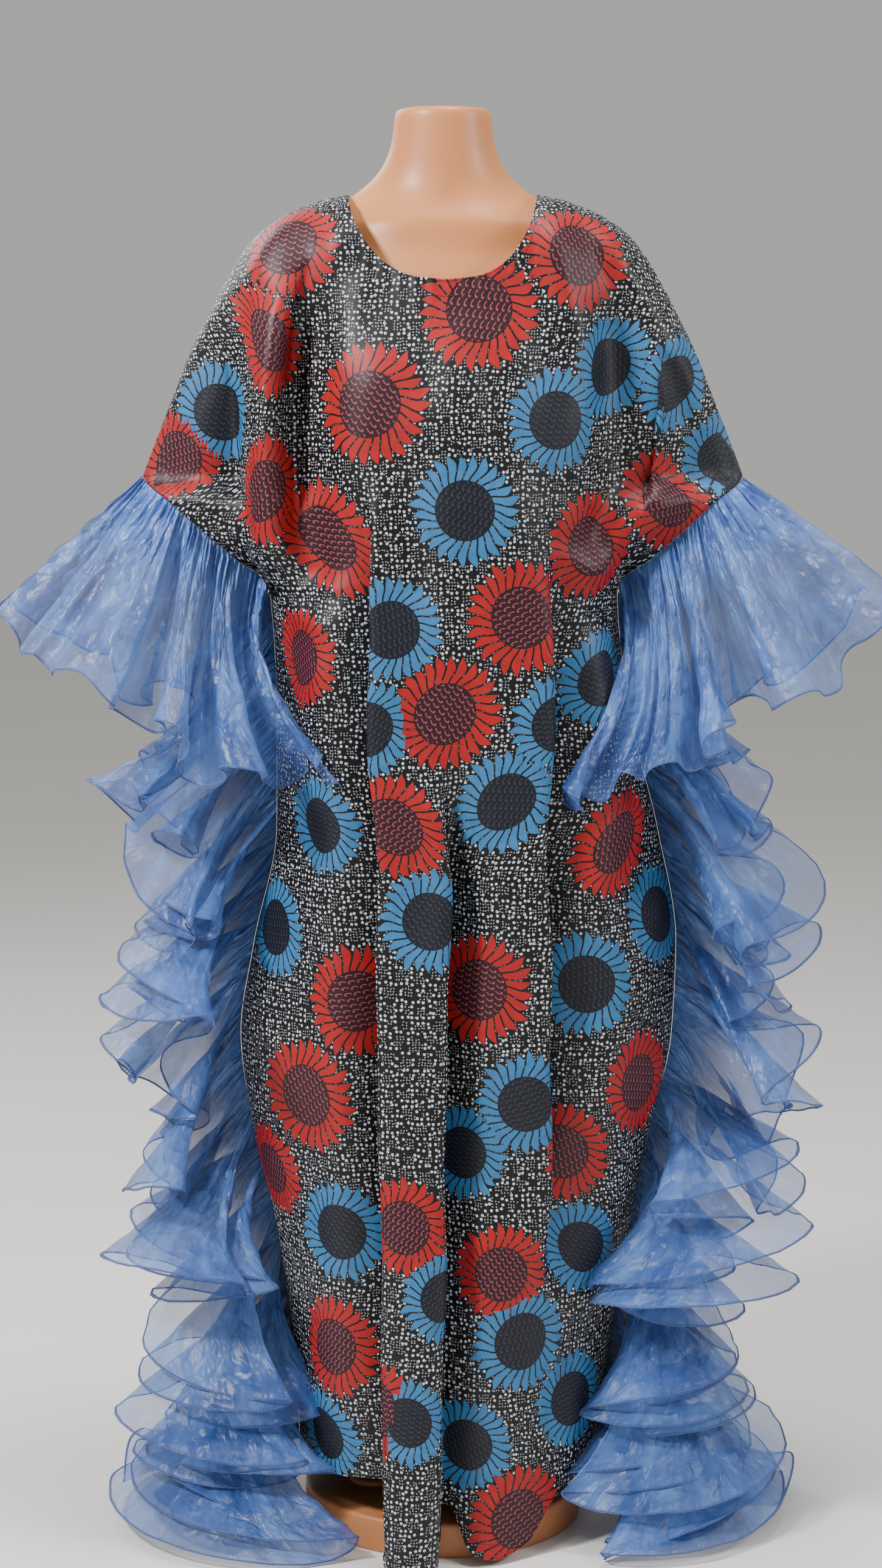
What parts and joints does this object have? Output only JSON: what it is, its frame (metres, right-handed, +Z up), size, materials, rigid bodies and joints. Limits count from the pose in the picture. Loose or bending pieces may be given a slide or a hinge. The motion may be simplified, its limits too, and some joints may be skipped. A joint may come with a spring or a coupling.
{
  "type": "ankara print boubou gown on a dress form stand",
  "caption": "Loose printed cotton boubou gown with gathered organza ruffles at the sleeves and sides, shown on a limbless dress form with a round base.",
  "frame": {"origin": "middle of the base's flat underside, on the floor", "axes": "+Z up along the form, -Y towards the front of the gown, +X towards the wearer's left side"},
  "size_m": [0.9462, 0.4235, 1.53],
  "materials": {
    "printed_cotton": "smooth printed cotton with a slight sheen, white dots on black with red and blue sunflowers",
    "organza": "thin crisp blue organza, see-through, with a fine sparkle",
    "overlock_thread": "blue polyester thread, satin",
    "form_plastic": "smooth moulded plastic, semi-gloss, peach",
    "post_steel": "bright steel tube"
  },
  "bodies": {
    "root": {"gown_front": "printed_cotton", "gown_back": "printed_cotton", "side_ruffle_right": "organza", "sleeve_ruffle_front_right": "organza", "sleeve_ruffle_back_right": "organza", "side_ruffle_left": "organza", "sleeve_ruffle_front_left": "organza", "sleeve_ruffle_back_left": "organza", "form_torso": "form_plastic", "form_post": "post_steel", "form_base": "form_plastic"}
  },
  "joints": []
}
